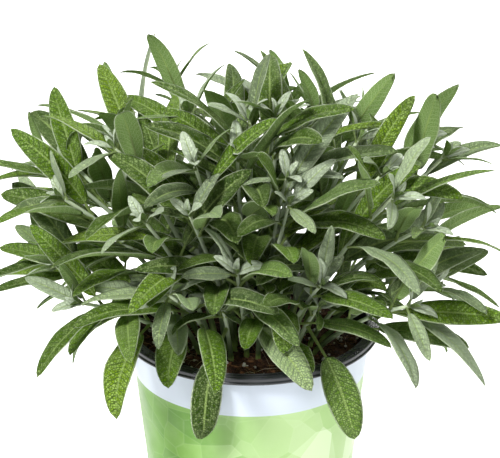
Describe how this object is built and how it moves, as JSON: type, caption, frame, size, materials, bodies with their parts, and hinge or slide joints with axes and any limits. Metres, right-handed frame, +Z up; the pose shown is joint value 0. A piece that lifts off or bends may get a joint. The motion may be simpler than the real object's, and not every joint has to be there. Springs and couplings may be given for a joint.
{
  "type": "potted sage",
  "caption": "Bushy common sage plant growing in soil in a round tapered nursery pot with a rolled black rim and a printed green sleeve.",
  "frame": {"origin": "centre of the pot's flat base", "axes": "+Z up along the pot's axis; the open side of the clump, where the soil shows, faces -Y"},
  "size_m": [0.2975, 0.2619, 0.2702],
  "materials": {
    "black_plastic": "satin black injection-moulded plastic",
    "printed_film": "semi-matt plastic film, white band above a pale green print",
    "potting_mix": "matte crumbly peat with fibres and white perlite",
    "sage_foliage": "matte, finely hairy and pebbled leaves"
  },
  "bodies": {
    "root": {"centre_shoot_01": "sage_foliage", "centre_shoot_02": "sage_foliage", "centre_shoot_03": "sage_foliage", "centre_shoot_04": "sage_foliage", "centre_shoot_05": "sage_foliage", "centre_shoot_06": "sage_foliage", "front_shoot_01": "sage_foliage", "front_shoot_02": "sage_foliage", "front_shoot_03": "sage_foliage", "front_shoot_04": "sage_foliage", "front_shoot_05": "sage_foliage", "front_shoot_06": "sage_foliage", "front_shoot_07": "sage_foliage", "front_shoot_08": "sage_foliage", "inner_shoot_01": "sage_foliage", "inner_shoot_02": "sage_foliage", "inner_shoot_03": "sage_foliage", "inner_shoot_04": "sage_foliage", "inner_shoot_05": "sage_foliage", "inner_shoot_06": "sage_foliage", "inner_shoot_07": "sage_foliage", "inner_shoot_08": "sage_foliage", "inner_shoot_09": "sage_foliage", "inner_shoot_10": "sage_foliage", "middle_shoot_01": "sage_foliage", "middle_shoot_02": "sage_foliage", "middle_shoot_03": "sage_foliage", "middle_shoot_04": "sage_foliage", "middle_shoot_05": "sage_foliage", "middle_shoot_06": "sage_foliage", "middle_shoot_07": "sage_foliage", "middle_shoot_08": "sage_foliage", "middle_shoot_09": "sage_foliage", "middle_shoot_10": "sage_foliage", "middle_shoot_11": "sage_foliage", "middle_shoot_12": "sage_foliage", "middle_shoot_13": "sage_foliage", "middle_shoot_14": "sage_foliage", "outer_shoot_01": "sage_foliage", "outer_shoot_02": "sage_foliage", "outer_shoot_03": "sage_foliage", "outer_shoot_04": "sage_foliage", "outer_shoot_05": "sage_foliage", "outer_shoot_06": "sage_foliage", "outer_shoot_07": "sage_foliage", "outer_shoot_08": "sage_foliage", "outer_shoot_09": "sage_foliage", "outer_shoot_10": "sage_foliage", "outer_shoot_11": "sage_foliage", "outer_shoot_12": "sage_foliage", "outer_shoot_13": "sage_foliage", "outer_shoot_14": "sage_foliage", "pot": "black_plastic", "potting_soil": "potting_mix", "printed_sleeve": "printed_film"}
  },
  "joints": []
}
